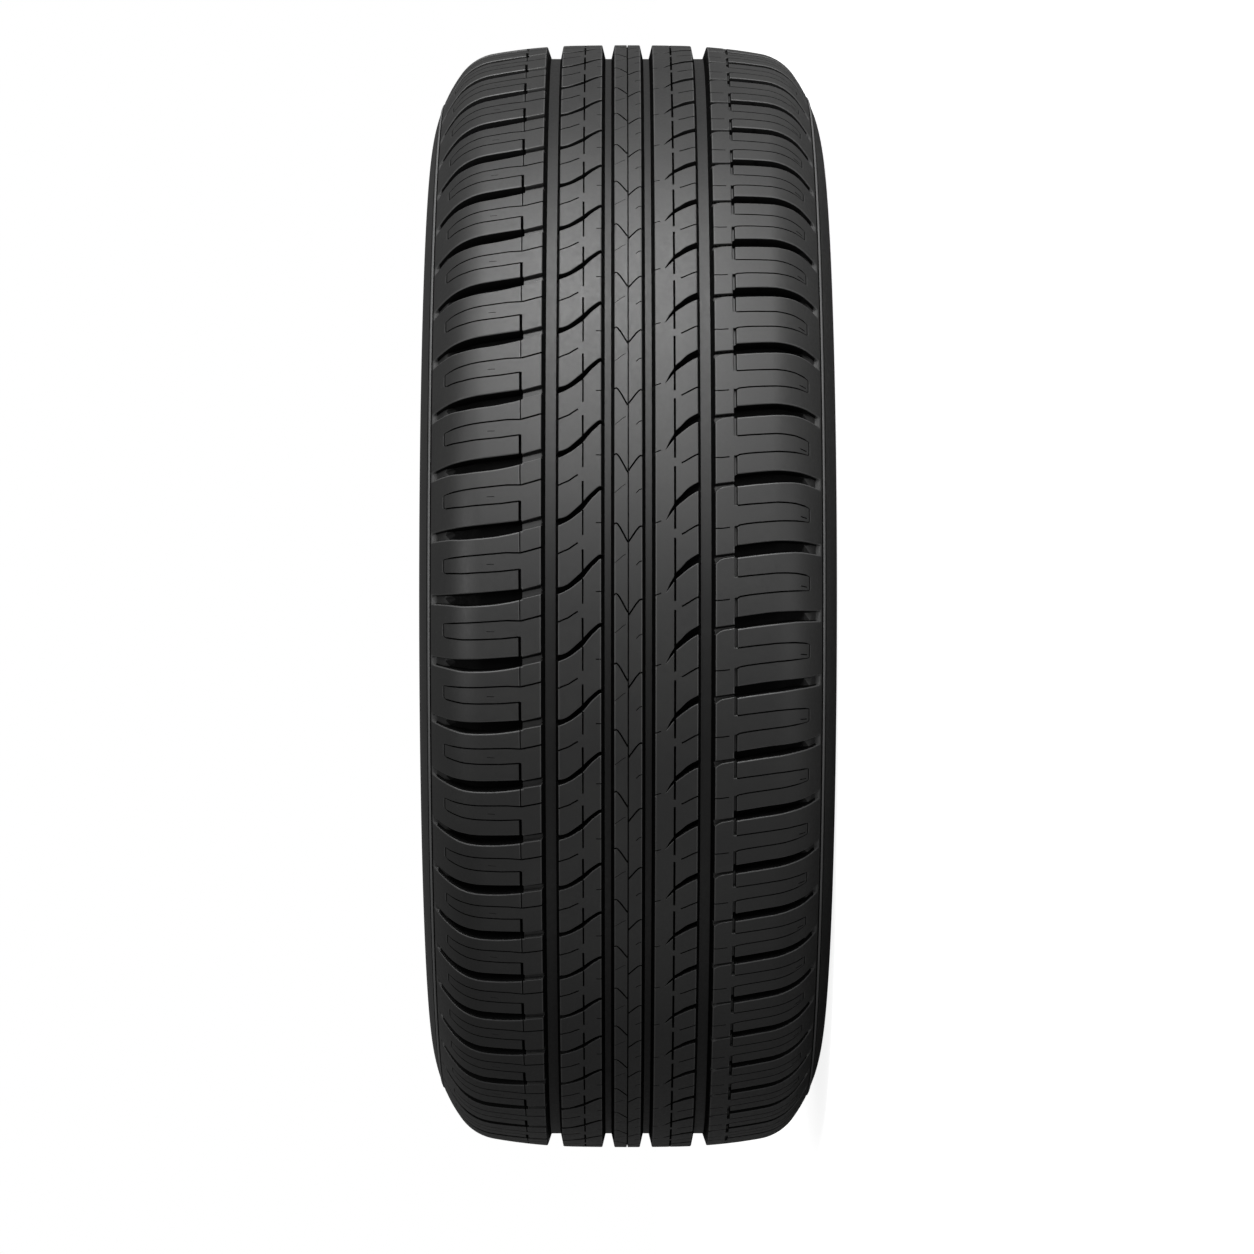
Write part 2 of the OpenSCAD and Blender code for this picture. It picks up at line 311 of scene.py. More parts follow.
@dataclass(frozen=True)
class Ring:
    """A fine moulded ring on a section arc.

    Args:
        radius: Distance of its crest from the wheel axis.
        height: Height above the arc.
        half_width: Half of its width along the arc.
        crest: Share of its half width that its flat crest has.
    """

    radius: float
    height: float
    half_width: float
    crest: float = 0.35


FITTING_RING = Ring(radius=244.0, height=0.6, half_width=1.1)


def ringed(arc: Arc, start: float, end: float, ring: Ring) -> list[tuple[float, float]]:
    """Samples an arc that carries one fine ring.

    Args:
        arc: The arc.
        start: First angle in radians.
        end: Last angle in radians.
        ring: The ring, placed by its distance from the wheel axis.

    Returns:
        Points as (radius, z).
    """
    middle = math.acos((ring.radius - arc.centre[0]) / arc.radius)
    half = ring.half_width / arc.radius
    points = arc.sample(start, middle - half, RING_STEP)
    points += [arc.at(middle + way * half * ring.crest, -ring.height) for way in (-1, 1)]
    points += arc.sample(middle + half, end, RING_STEP)
    return points


SECTION = TyreSection()


# Tread pattern in plan


class Side(Enum):
    """Half of the tread; the value is the sign of z."""

    LEFT = 1
    RIGHT = -1


@dataclass(frozen=True)
class PitchSequence:
    """Lengths of the pattern pitches round one half of the tread.

    The lengths swell and shrink in waves, which keeps the tyre quiet. Angles
    are counted in degrees from the middle of the picture, upwards.

    Args:
        start: Angle of the first shoulder groove's upper inner corner.
        waves: Each wave as (waves to a turn, swing in degrees, phase in degrees).
        length: Pitch length in millimetres that the plan is drawn at.
    """

    start: float
    waves: tuple[tuple[int, float, float], ...]
    length: float
    COUNT = 60

    def angle(self, index: float) -> float:
        """Angle of a pitch's reference corner.

        Args:
            index: Number of the pitch, counted from the first.

        Returns:
            The angle in degrees.
        """
        turn = 360.0 * index / self.COUNT
        swing = sum(s * math.sin(math.radians(n * turn + p)) for n, s, p in self.waves)
        return self.start + turn + swing


LEFT_PITCHES = PitchSequence(-75.9, ((2, 1.2, 128.0), (5, 0.75, -49.0)), 35.5)
RIGHT_PITCHES = PitchSequence(-77.9, ((2, 2.22, 112.0), (3, 1.56, 151.0), (5, 0.75, -75.0)), 37.5)
LEFT_CENTRE_PITCHES = PitchSequence(
    -64.5, ((2, 0.71, -177.0), (3, 0.85, 132.0), (5, 0.52, 15.0)), 35.5
)
RIGHT_CENTRE_PITCHES = PitchSequence(
    -65.9, ((2, 1.21, -135.0), (3, 1.04, 143.0), (5, 0.67, 45.0)), 35.5
)


def resample(points: Sequence[tuple[float, float]], step: float, closed: bool) -> Array:
    """Splits the long edges of a polyline.

    Args:
        points: Corners as (s, z).
        step: Longest edge that is left.
        closed: Whether the last corner joins the first.

    Returns:
        The corners and the points between them.
    """
    corners = np.asarray(points, float)
    result = []
    count = len(corners)
    for i in range(count if closed else count - 1):
        p, q = corners[i], corners[(i + 1) % count]
        parts = max(1, math.ceil(float(np.hypot(*(q - p))) / step))
        result.extend(p + (q - p) * k / parts for k in range(parts))
    if not closed:
        result.append(corners[-1])
    return np.array(result)


def rounded(
    points: Sequence[tuple[float, float]], radii: dict[int, float]
) -> list[tuple[float, float]]:
    """Rounds some corners of a polyline or outline.

    Args:
        points: Corners as (s, z).
        radii: Radius by corner index.

    Returns:
        The corners, with each rounded one replaced by five points.
    """
    result: list[tuple[float, float]] = []
    count = len(points)
    for i, corner in enumerate(points):
        radius = radii.get(i)
        if radius is None:
            result.append(tuple(corner))
            continue
        here = np.asarray(corner, float)
        before = np.asarray(points[i - 1], float) - here
        after = np.asarray(points[(i + 1) % count], float) - here
        first = here + before / np.linalg.norm(before) * radius
        last = here + after / np.linalg.norm(after) * radius
        for t in (0.0, 0.25, 0.5, 0.75, 1.0):
            point = (1 - t) ** 2 * first + 2 * t * (1 - t) * here + t * t * last
            result.append((float(point[0]), float(point[1])))
    return result


def smooth_line(points: Sequence[tuple[float, float]], steps: int = 4) -> list[tuple[float, float]]:
    """Catmull-Rom curve through points.

    Args:
        points: Points as (s, z).
        steps: Pieces between two points.

    Returns:
        The curve's points.
    """
    p = np.asarray(points, float)
    padded = np.vstack([2 * p[0] - p[1], p, 2 * p[-1] - p[-2]])
    result = []
    for i in range(1, len(padded) - 2):
        a, b, c, d = padded[i - 1 : i + 3]
        for k in range(steps):
            t = k / steps
            result.append(
                0.5
                * (
                    2 * b
                    + (c - a) * t
                    + (2 * a - 5 * b + 4 * c - d) * t * t
                    + (3 * b - a - 3 * c + d) * t**3
                )
            )
    result.append(p[-1])
    return [(float(x), float(y)) for x, y in result]


def offset(outline: Array, distance: float) -> Array:
    """Moves a closed outline sideways with mitred corners.

    Args:
        outline: Points of a closed outline, anticlockwise as (s, z).
        distance: Outward distance, negative to go inwards.

    Returns:
        The moved points.
    """
    before = outline - np.roll(outline, 1, axis=0)
    after = np.roll(outline, -1, axis=0) - outline
    before /= np.linalg.norm(before, axis=1, keepdims=True)
    after /= np.linalg.norm(after, axis=1, keepdims=True)
    n1 = np.column_stack([before[:, 1], -before[:, 0]])
    n2 = np.column_stack([after[:, 1], -after[:, 0]])
    mitre = n1 + n2
    length = np.maximum(np.sum(mitre * mitre, axis=1, keepdims=True), 0.5)
    return outline + distance * 2 * mitre / length


def signed_distance(points: Array, outline: Array) -> Array:
    """Distance of points from a closed outline, positive inside it.

    Args:
        points: Points as (s, z).
        outline: Points of the closed outline.

    Returns:
        One distance for each point.
    """
    nearest = np.full(len(points), np.inf)
    inside = np.zeros(len(points), bool)
    x, y = points[:, 0], points[:, 1]
    for (ax, ay), (bx, by) in zip(outline, np.roll(outline, -1, axis=0)):
        dx, dy = bx - ax, by - ay
        t = np.clip(((x - ax) * dx + (y - ay) * dy) / (dx * dx + dy * dy + 1e-18), 0, 1)
        nearest = np.minimum(nearest, np.hypot(x - ax - t * dx, y - ay - t * dy))
        crossing = (ay > y) != (by > y)
        with np.errstate(divide="ignore", invalid="ignore"):
            inside ^= crossing & (x < ax + (y - ay) * dx / (dy if dy else 1e-18))
    return np.where(inside, nearest, -nearest)


def steady(depth: float) -> DepthFunction:
    """Depth function of a groove with a flat floor."""
    return lambda s, z: np.full_like(z, depth)


# How far a lip falls, and where its line bends, as shares of its width
LIP_DROP, LIP_BEND = 0.55, 0.45
# A point this near to an edge counts as in the groove
EDGE_SLACK = 1e-4
# How far round a groove its lip may reach
REACH = 1.0


def profile(distance: Array, floor: Array, wall: float, lip: float) -> Array:
    """Depth across a groove: its rounded lip, its sloping wall and its floor.

    Args:
        distance: Distances from the groove's edge, positive inside it.
        floor: Depths of the floor.
        wall: Width of the wall in plan.
        lip: Width of the rounding beside it.

    Returns:
        One depth for each distance.
    """
    brim = LIP_DROP * lip
    rounding = np.zeros_like(distance)
    if lip > 0:
        rounding = brim * np.clip(1 + distance / lip, 0, 1) ** 2
    slope = brim + (floor - brim) * np.clip(distance / wall, 0, 1)
    return np.where(distance > -EDGE_SLACK, slope, rounding)


@dataclass
class Groove:
    """A groove drawn in plan on the unrolled tread.

    Args:
        outline: Closed outline as (s, z), either way round.
        depth: Depth of its floor.
        wall: Width of its wall in plan.
        lip: Width of the rounding beside it.
        step: Longest edge of its lines.
        wall_painted_shade: Painted shade on its wall, negative for a painted highlight.
        lip_painted_shade: Painted shade on the rounding, negative for a painted highlight.
        painted_highlight_from: Distance from the centre line from which its wall carries the lips'
            painted highlight.
        floor_painted_shade: Painted shade on its floor, or None to follow its depth.
    """

    outline: Sequence[tuple[float, float]]
    depth: DepthFunction
    wall: float = 0.5
    lip: float = 0.35
    step: float = 2.2
    wall_painted_shade: float = 0.95
    lip_painted_shade: float = LIP_PAINTED_HIGHLIGHT
    painted_highlight_from: float = math.inf
    floor_painted_shade: float | None = None

    def __post_init__(self) -> None:
        """Resamples the outline, anticlockwise."""
        line = resample(self.outline, self.step, closed=True)
        nxt = np.roll(line, -1, axis=0)
        if np.sum(line[:, 0] * nxt[:, 1] - nxt[:, 0] * line[:, 1]) < 0:
            line = line[::-1]
        self.line = line

    def rails(self) -> list[Array]:
        """Closed lines at which the groove's cross-section bends.

        Returns:
            The lines' points.
        """
        rails = [self.line, offset(self.line, -self.wall)]
        if self.lip > 0:
            rails += [offset(self.line, self.lip), offset(self.line, self.lip * LIP_BEND)]
        return rails

    def relief(self, points: Array, shift: float) -> tuple[Array, Array]:
        """Depth and painted shade of the surface at points, with the groove moved along s.

        Args:
            points: Points as (s, z).
            shift: Distance the groove is moved along s.

        Returns:
            One depth and one painted shade value for each point, zero away from the groove.
        """
        line = self.line + (shift, 0.0)
        low, high = line.min(axis=0) - REACH, line.max(axis=0) + REACH
        near = ((points > low) & (points < high)).all(axis=1)
        depth = np.zeros(len(points))
        painted_shade = np.zeros(len(points))
        if not near.any():
            return depth, painted_shade
        sd = signed_distance(points[near], line)
        floor = self.depth(points[near, 0] - shift, points[near, 1])
        depth[near] = profile(sd, floor, self.wall, self.lip)
        # Painted shade on walls and floors, and a painted highlight on lips and on walls beyond the
        # given distance
        ground = self.floor_painted_shade
        if ground is None:
            ground = np.interp(floor, [SHALLOW, DEEP], [SHALLOW_PAINTED_SHADE, DEEP_PAINTED_SHADE])
        wall = np.where(points[near, 1] > self.painted_highlight_from, LIP_PAINTED_HIGHLIGHT, self.wall_painted_shade)
        painted_shade[near] = np.where(sd < 0, self.lip_painted_shade, np.where(sd < self.wall, wall, ground))
        return depth, painted_shade


def ribbon(
    points: Sequence[tuple[float, float]], widths: float | Sequence[float]
) -> list[tuple[float, float]]:
    """Outline of a narrow slit along an open line.

    Args:
        points: Line as (s, z).
        widths: One width, or one for each point.

    Returns:
        Closed outline.
    """
    p = np.asarray(points, float)
    w = np.broadcast_to(np.asarray(widths, float), (len(p),))
    tangent = np.gradient(p, axis=0)
    tangent /= np.linalg.norm(tangent, axis=1, keepdims=True)
    normal = np.column_stack([-tangent[:, 1], tangent[:, 0]])
    left = p + normal * w[:, None] / 2
    right = p - normal * w[:, None] / 2
    return [tuple(q) for q in left] + [tuple(q) for q in right[::-1]]


# Longest edge along a fine slit, and its usual depth
FINE_STEP = 2.6
SIPE_DEPTH = 1.6
# Widths of a tongue's slit along its sides and across its end
TONGUE_SIDE, TONGUE_END = 0.85, 0.45


def sipe(
    points: Sequence[tuple[float, float]], width: float, depth: float = SIPE_DEPTH
) -> Groove:
    """A fine V-shaped slit along an open line."""
    outline = ribbon(points, width)
    # The slit's walls carry full painted shade
    return Groove(outline, steady(depth), width / 2, lip=0.0, step=FINE_STEP, wall_painted_shade=1.0)


def tongue(points: Sequence[tuple[float, float]], end: float) -> Groove:
    """Slit round a tongue of a shoulder block, finer across the tongue's end.

    Args:
        points: Line as (s, z).
        end: Distance from the centre line beyond which the slit is finer.

    Returns:
        The slit.
    """
    outline = ribbon(points, [TONGUE_END if z > end else TONGUE_SIDE for _, z in points])
    # The slit's walls carry full painted shade
    return Groove(outline, steady(SIPE_DEPTH), 0.42, lip=0.0, step=FINE_STEP, wall_painted_shade=1.0)


def link(
    outline: Sequence[tuple[float, float]], shade: Sequence[tuple[float, float]]
) -> list[Groove]:
    """Shallow link from a main groove to a shoulder groove, with a strip of painted shadow along
    its upper edge.

    Args:
        outline: Closed outline as (s, z).
        shade: Closed outline of the strip of painted shadow.

    Returns:
        The link and its strip of painted shadow.
    """
    return [
        # The link's walls carry light painted shade, and the strip, 0.3 mm deeper, a dark painted
        # shadow
        Groove(outline, steady(2.0), wall=0.5, lip=0.35, wall_painted_shade=0.35),
        Groove(shade, steady(2.3), wall=0.15, lip=0.0, wall_painted_shade=0.95, floor_painted_shade=0.95),
    ]


def mark(points: Sequence[tuple[float, float]], width: float) -> Groove:
    """A faint line of painted highlight, 0.05 mm deep."""
    outline = ribbon(points, width)
    return Groove(outline, steady(0.05), width / 2, lip=0.0, step=FINE_STEP, wall_painted_shade=MARK_PAINTED_HIGHLIGHT)


@dataclass
class Channel:
    """A circumferential groove: straight rails at constant z.

    Args:
        inner: Edge nearer the centre line.
        outer: Edge farther from it.
        depth: Depth of the floor, negative for a raised ring.
        wall: Width of each wall in plan.
        lip: Width of the rounding beside it.
        wall_painted_shade: Painted shade on its walls, negative for a painted highlight.
        floor_painted_shade: Painted shade on its floor, negative for a painted highlight.
    """

    inner: float
    outer: float
    depth: DepthFunction
    wall: float
    lip: float = 0.4
    wall_painted_shade: float = 1.0
    floor_painted_shade: float = 0.28

    def stations(self) -> list[float]:
        """Values of z at which the cross-section bends.

        Returns:
            The values, in no order.
        """
        lines = [self.inner, self.outer, self.inner + self.wall, self.outer - self.wall]
        if self.lip > 0:
            for edge, way in ((self.inner, -1), (self.outer, 1)):
                lines += [edge + way * self.lip, edge + way * self.lip * LIP_BEND]
        return lines

    def relief(self, points: Array) -> tuple[Array, Array]:
        """Depth and painted shade of the surface at points.

        Args:
            points: Points as (s, z).

        Returns:
            One depth and one painted shade value for each point.
        """
        z = points[:, 1]
        sd = np.minimum(z - self.inner, self.outer - z)
        depth = profile(sd, self.depth(points[:, 0], z), self.wall, self.lip)
        # Painted shade on walls and floor, and a bright painted highlight on the lips
        painted_shade = np.where(sd < self.wall, self.wall_painted_shade, self.floor_painted_shade)
        painted_shade = np.where(sd < 0, BRIGHT_LIP_PAINTED_HIGHLIGHT, painted_shade)
        return depth, painted_shade


# The four main grooves, with their centres and half widths from the centre line
MAIN_DEPTH, MAIN_WALL, MAIN_LIP = 8.0, 1.8, 0.6
INNER_CENTRE, INNER_HALF = 10.9, 3.5
OUTER_CENTRE, OUTER_HALF = 41.7, 4.6
# Where the tread bands end and the carcass starts
TREAD_EDGE = 108.4


def main_floor(s: Array, z: Array) -> Array:
    """Depth of the main grooves, whose floor is a cylinder under the crown."""
    return SECTION.surface(z)[0] - (SECTION.top_radius - MAIN_DEPTH)


def main_channel(centre: float, half: float) -> Channel:
    """One of the four main grooves, with painted shade on its walls and floor and a painted
    highlight on its lips.
    """
    return Channel(centre - half, centre + half, main_floor, MAIN_WALL, MAIN_LIP)


INNER_MAIN = main_channel(INNER_CENTRE, INNER_HALF)
OUTER_MAIN = main_channel(OUTER_CENTRE, OUTER_HALF)


def edge_rings(start: float) -> list[Channel]:
    """The fine raised ring round the tread edge, between two fine grooves.

    Args:
        start: Distance of the inner groove's inner edge from the centre line.

    Returns:
        The three channels.
    """
    low, high, end = start + 0.8, start + 1.9, start + 2.5
    # The ring carries a painted highlight on its walls and crest, and the floors of the grooves
    # beside it painted shade
    return [
        Channel(start, low, steady(0.8), 0.25, 0.0, floor_painted_shade=DARK_FLOOR_PAINTED_SHADE),
        Channel(low, high, steady(-0.4), 0.3, 0.0, RING_PAINTED_HIGHLIGHT, RING_PAINTED_HIGHLIGHT),
        Channel(high, end, steady(0.6), 0.2, 0.0, floor_painted_shade=DARK_FLOOR_PAINTED_SHADE),
    ]


# Depths of a shoulder groove at its deep end, above and below its step
DEEP_FLOOR, RAMP_END, STEP_FLOOR, STEP_LENGTH = 7.0, 3.6, 2.0, 0.3
SHOULDER_WALL, SHOULDER_LIP = 0.55, 0.7


def shoulder_depth(deep_end: float, step_at: float) -> DepthFunction:
    """Floor of a shoulder groove: deep, then a ramp, a step and a shallow end.

    Args:
        deep_end: Distance from the centre line at which the ramp starts.
        step_at: Distance at which the step is.

    Returns:
        The depth function.
    """
    places = [deep_end, step_at, step_at + STEP_LENGTH]
    return lambda s, z: np.interp(z, places, [DEEP_FLOOR, RAMP_END, STEP_FLOOR])


def left_shoulder() -> tuple[list[Groove], list[Channel]]:
    """Plan of the left shoulder: stepped grooves, links, tongue slits.

    Returns:
        The grooves and the channels of one pitch.
    """
    upper = [(0.0, 56.25), (-0.95, 66.0), (-2.0, 78.0), (-2.9, 91.0), (-3.5, 104.8)]
    lower = [(-8.4, 104.8), (-8.8, 95.0), (-9.4, 87.0), (-8.6, 73.0), (-7.1, 63.0), (-5.6, 56.25)]
    slit = [(-16.9, 57.0), (-16.75, 64.5), (-17.75, 78.0), (-18.75, 93.0), (-19.3, 98.2)]
    slit += [(-26.9, 98.2), (-27.45, 88.0), (-27.0, 78.0), (-26.5, 68.0), (-25.4, 57.6)]
    grooves = [
        Groove(
            smooth_line(upper, 3) + smooth_line(lower, 3),
            shoulder_depth(91.5, 98.4),
            SHOULDER_WALL,
            SHOULDER_LIP,
            # Bright painted highlight on the lips, and on the walls beyond the given distance
            lip_painted_shade=BRIGHT_LIP_PAINTED_HIGHLIGHT,
            painted_highlight_from=103.9,
        ),
        *link(
            [(-0.8, 57.6), (2.5, 45.0), (-2.6, 45.0), (-5.5, 57.6)],
            [(-1.1, 57.6), (2.2, 45.0), (0.6, 45.0), (-2.1, 57.6)],
        ),
        sipe([(-13.9, 45.6), (-15.5, 51.5), (-16.9, 57.0)], 0.95, 2.2),
        tongue(rounded(slit, {4: 0.5, 5: 1.6}), 97.2),
        mark([(-19.9, 98.75), (-23.0, 98.8), (-26.2, 98.75)], 0.4),
        sipe([(-25.2, 57.5), (-30.0, 57.45), (-36.2, 57.4)], 1.5, 2.8),
        sipe([(-5.4, 57.4), (-11.0, 57.4), (-16.8, 57.3)], 0.6),
        mark([(-5.4, 57.95), (-11.0, 57.95), (-16.3, 57.85)], 0.4),
        sipe([(-22.75, 71.0), (-22.7, 75.0)], 0.3, 0.3),
    ]
    channels = [OUTER_MAIN, *edge_rings(105.5)]
    return grooves, channels


def right_slot(start: float, end: float) -> Groove:
    """Shallow slot along the inner ends of the right shoulder grooves, with painted shade on its
    walls.
    """
    outline = [(start, 56.2), (start, 57.9), (end, 57.9), (end, 56.2)]
    return Groove(outline, steady(2.0), wall=0.35, lip=0.35, wall_painted_shade=0.7)


def right_shoulder() -> tuple[list[Groove], list[Channel]]:
    """Plan of the right shoulder: stepped grooves, links, slots, tongue slits.

    Returns:
        The grooves and the channels of one pitch.
    """
    upper = [(0.0, 57.0), (1.0, 64.0), (2.0, 71.5), (2.75, 79.0), (3.0, 88.0), (2.95, 94.0)]
    upper += [(2.5, 102.3)]
    lower = [(-3.2, 102.3), (-2.8, 94.0), (-2.8, 89.0), (-3.25, 84.0), (-4.25, 74.0)]
    lower += [(-5.5, 64.0), (-6.4, 57.6)]
    nose = [(-6.3, 56.9), (-5.4, 56.3), (-1.4, 56.2), (-0.5, 56.4)]
    slit = [(-16.5, 57.9), (-15.75, 64.0), (-15.0, 71.5), (-14.25, 79.0), (-14.15, 84.0)]
    slit += [(-14.25, 89.0), (-15.0, 94.0), (-15.8, 96.3), (-23.5, 96.3), (-23.65, 89.0)]
    slit += [(-24.25, 79.0), (-25.25, 69.0), (-25.85, 64.0), (-26.75, 59.0), (-27.9, 57.2)]
    bridge = [(-3.7, 57.4), (-5.4, 45.0), (-10.4, 45.0), (-9.3, 46.6), (-7.7, 48.4)]
    bridge += [(-6.9, 50.2), (-5.7, 57.4)]
    grooves = [
        Groove(
            smooth_line(upper, 3) + smooth_line(lower, 3) + nose,
            shoulder_depth(91.0, 97.4),
            SHOULDER_WALL,
            SHOULDER_LIP,
            # Bright painted highlight on the lips, and on the walls beyond the given distance
            lip_painted_shade=BRIGHT_LIP_PAINTED_HIGHLIGHT,
            painted_highlight_from=101.5,
        ),
        *link(bridge, [(-3.9, 57.4), (-5.6, 45.0), (-6.6, 45.0), (-4.9, 57.4)]),
        right_slot(-5.4, -16.4),
        right_slot(-27.4, -39.0),
        tongue(rounded(slit, {7: 0.6, 8: 1.0}), 95.2),
        mark([(-16.4, 96.85), (-20.0, 96.9), (-23.4, 96.85)], 0.4),
        sipe([(-20.9, 91.6), (-21.6, 95.0)], 0.6, 0.8),
        sipe([(-28.75, 45.6), (-28.6, 50.0), (-28.1, 53.7)], 0.65),
    ]
    channels = [OUTER_MAIN, *edge_rings(103.5)]
    return grooves, channels


# Depth of the rib grooves, and the longest edge of their lines
RIB_DEPTH, RIB_STEP = 6.5, 1.6


def left_rib() -> tuple[list[Groove], list[Channel]]:
    """Plan of the left rib: S grooves, a dashed slit, short slits.

    Returns:
        The grooves and the channels of one pitch.
    """
    upper = [(0.6, 38.6), (0.75, 36.7), (1.1, 34.7), (2.3, 32.1), (4.4, 29.5), (6.8, 26.8)]
    upper += [(9.2, 24.2), (12.2, 21.6), (14.8, 18.9), (16.6, 16.8), (17.5, 15.3), (17.7, 12.8)]
    lower = [(15.9, 12.8), (15.1, 15.3), (13.6, 16.8), (11.7, 18.9), (8.5, 21.6), (5.2, 24.2)]
    lower += [(3.1, 26.8), (1.0, 29.5), (-0.6, 32.1), (-1.9, 34.7), (-2.7, 36.7), (-3.0, 38.6)]
    outline = smooth_line(upper, 2) + smooth_line(lower, 2)
    short = [(-17.5, 37.4), (-16.1, 34.2), (-15.05, 31.6), (-13.2, 28.9), (-11.8, 26.7)]
    grooves = [
        Groove(outline, steady(RIB_DEPTH), wall=0.3, lip=0.4, step=RIB_STEP),
        sipe([(20.3, 24.2), (14.0, 24.15), (6.6, 24.1)], 1.05, 2.4),
        sipe([(5.2, 24.1), (-2.0, 24.1), (-7.8, 24.1)], 0.85, 2.4),
        sipe(short, 0.85, 1.8),
        sipe([(-1.4, 17.2), (-1.45, 14.0)], 0.55, 0.8),
    ]
    return grooves, [OUTER_MAIN, INNER_MAIN]


def right_rib() -> tuple[list[Groove], list[Channel]]:
    """Plan of the right rib: hooked grooves, a long slit, short slits.

    Returns:
        The grooves and the channels of one pitch.
    """
    drop = -4.3
    upper = [(0.6, 38.8), (-0.1, 37.1), (-0.9, 35.8), (-2.4, 33.2), (-4.5, 30.5), (-7.4, 27.9)]
    upper += [(-9.9, 25.3), (-12.4, 24.0), (-15.5, 22.1), (-20.0, 20.1)]
    lower = [(-20.5, 19.9), (-17.6, 22.1), (-14.3, 24.5), (-13.0, 25.8), (-10.8, 28.4)]
    lower += [(-8.2, 31.6), (-6.1, 34.7), (-4.9, 37.1), (-4.4, 38.8)]
    outline = [(s + drop, z) for s, z in smooth_line(upper, 2) + smooth_line(lower, 2)]
    short = ((-22.2, 38.0), (-23.4, 35.3), (-25.0, 32.6), (-26.6, 30.0), (-27.5, 28.3))
    grooves = [
        Groove(outline, steady(RIB_DEPTH), wall=0.26, lip=0.35, step=RIB_STEP),
        sipe([(s + drop, z) for s, z in short], 0.85, 1.8),
        sipe([(3.9, 24.75), (-12.0, 24.75), (-29.0, 24.75)], 1.15, 2.4),
        sipe([(-21.8 + drop, 14.2), (-20.6 + drop, 17.4)], 0.6, 0.8),
    ]
    return grooves, [OUTER_MAIN, INNER_MAIN]


# Width of an arm of the centre rib's V slits, and the slit that joins their points
ARM_WIDTH = 0.88
CENTRE_SLIT = Channel(-0.36, 0.36, steady(1.5), 0.34, 0.0)


def left_centre() -> tuple[list[Groove], list[Channel]]:
    """Plan of the centre rib's left half.

    Returns:
        The grooves and the channels of one pitch.
    """
    arm = [(-1.7, 7.5), (-1.0, 6.5), (-1.6, 5.6), (-3.4, 4.3), (-6.4, 2.6)]
    arm += [(-9.0, 1.2), (-10.7, 0.2)]
    grooves = [
        sipe(arm, ARM_WIDTH),
        sipe([(-21.2, 7.3), (-19.6, 5.2), (-17.6, 2.9), (-16.8, 1.4)], 0.3, 0.4),
    ]
    return grooves, [INNER_MAIN, CENTRE_SLIT]


def right_centre() -> tuple[list[Groove], list[Channel]]:
    """Plan of the centre rib's right half.

    Returns:
        The grooves and the channels of one pitch.
    """
    arm = [(-1.0, 7.5), (-0.8, 6.6), (-1.4, 5.6), (-3.2, 4.0), (-5.4, 2.4)]
    arm += [(-7.4, 0.9), (-8.5, 0.2)]
    grooves = [
        sipe(arm, ARM_WIDTH),
        sipe([(-17.7, 7.3), (-18.2, 5.8), (-19.8, 4.2)], 0.45, 0.6),
    ]
    return grooves, [INNER_MAIN, CENTRE_SLIT]


@dataclass(frozen=True)
class BandPlan:
    """One band of the tread, between the middles of two main grooves.

    Args:
        name: Piece name.
        side: Half of the tread that it lies on.
        low: Distance of its inner border from the centre line.
        high: Distance of its outer border.
        pitches: Lengths of its pitches.
        pattern: Gives the grooves and channels of one pitch.
        grid: Spacing of the extra points on the land.
    """

    name: str
    side: Side
    low: float
    high: float
    pitches: PitchSequence
    pattern: Callable[[], tuple[list[Groove], list[Channel]]]
    grid: float


# Borders of the bands, as distances from the centre line
SHOULDER = (OUTER_CENTRE, TREAD_EDGE)
RIB = (INNER_CENTRE, OUTER_CENTRE)
CENTRE = (0.0, INNER_CENTRE)
BANDS = (
    BandPlan("tread_left_shoulder", Side.LEFT, *SHOULDER, LEFT_PITCHES, left_shoulder, 3.4),
    BandPlan("tread_left_rib", Side.LEFT, *RIB, LEFT_PITCHES, left_rib, 4.0),
    BandPlan("tread_left_centre", Side.LEFT, *CENTRE, LEFT_CENTRE_PITCHES, left_centre, 4.0),
    BandPlan("tread_right_centre", Side.RIGHT, *CENTRE, RIGHT_CENTRE_PITCHES, right_centre, 4.0),
    BandPlan("tread_right_rib", Side.RIGHT, *RIB, RIGHT_PITCHES, right_rib, 4.0),
    BandPlan("tread_right_shoulder", Side.RIGHT, *SHOULDER, RIGHT_PITCHES, right_shoulder, 3.4),
)
# Points of the plan nearer than this are one
PLAN_TOLERANCE = 1e-5


